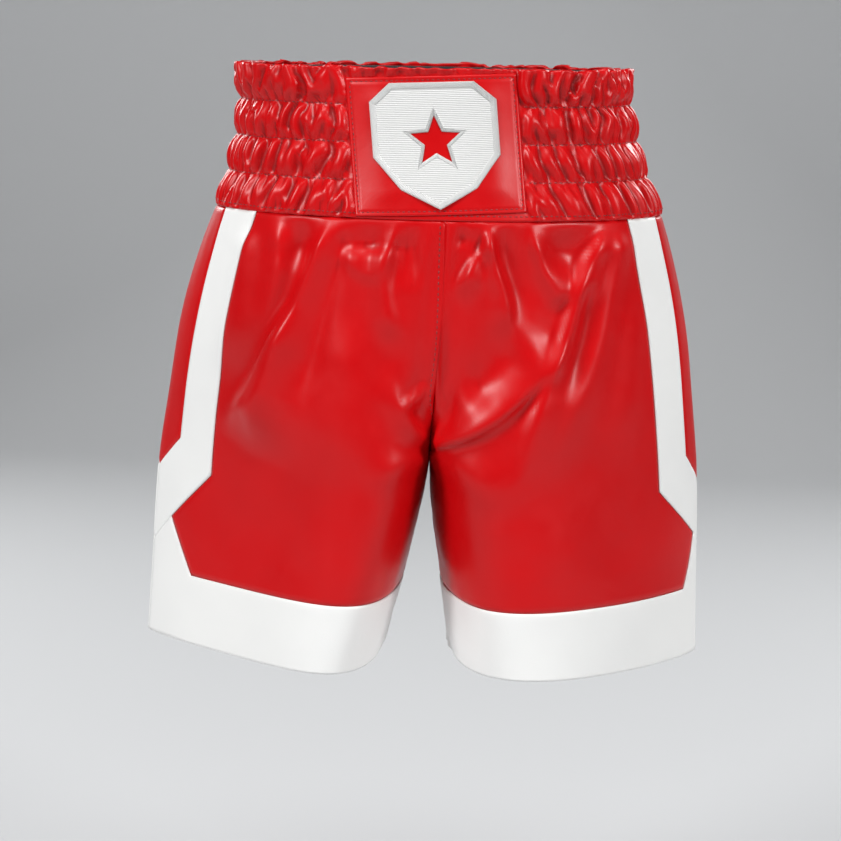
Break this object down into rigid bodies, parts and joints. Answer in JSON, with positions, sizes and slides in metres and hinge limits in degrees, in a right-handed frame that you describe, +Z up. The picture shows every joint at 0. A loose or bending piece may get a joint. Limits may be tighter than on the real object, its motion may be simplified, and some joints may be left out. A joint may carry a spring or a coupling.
{
  "type": "boxing shorts",
  "caption": "Vinyl boxing shorts with a gathered elastic waistband, an applique front patch, side stripes that end in a diagonal, and contrasting hem bands.",
  "frame": {"origin": "centre of the waist opening, level with the top edge of the waistband", "axes": "+Z up out of the waist opening, the wearer faces -Y, +X is the wearer's left"},
  "size_m": [0.4254, 0.2593, 0.44],
  "materials": {
    "red_vinyl": "glossy red polyurethane-coated vinyl on a dark knit back, fine grain",
    "white_vinyl": "semi-gloss white coated vinyl on a knit back",
    "black_lining": "matte black woven lining and binding tape",
    "elastic": "ribbed white knitted elastic",
    "red_thread": "twisted polyester sewing thread",
    "interfacing": "stiff non-woven interfacing",
    "white_thread": "white satin-stitch embroidery over twill",
    "label_satin": "blank woven satin label"
  },
  "bodies": {
    "root": {"waistband_shell": "red_vinyl", "waistband_lining": "black_lining", "elastic_row_1": "elastic", "elastic_row_2": "elastic", "elastic_row_3": "elastic", "elastic_row_4": "elastic", "waist_seam_binding": "black_lining", "channel_stitching": "red_thread", "waist_patch": "red_vinyl", "patch_interfacing": "interfacing", "patch_stitching": "red_thread", "emblem_shield": "white_thread", "emblem_border": "white_thread", "emblem_star_border": "white_thread", "size_label": "label_satin", "left_front_panel": "red_vinyl", "left_back_panel": "red_vinyl", "left_side_panel": "red_vinyl", "left_front_stripe": "white_vinyl", "left_back_stripe": "white_vinyl", "left_front_hem_band": "white_vinyl", "left_back_hem_band": "white_vinyl", "left_hem_facing": "white_vinyl", "right_front_panel": "red_vinyl", "right_back_panel": "red_vinyl", "right_side_panel": "red_vinyl", "right_front_stripe": "white_vinyl", "right_back_stripe": "white_vinyl", "right_front_hem_band": "white_vinyl", "right_back_hem_band": "white_vinyl", "right_hem_facing": "white_vinyl", "front_rise_stitching": "red_thread", "back_rise_stitching": "red_thread"}
  },
  "joints": []
}
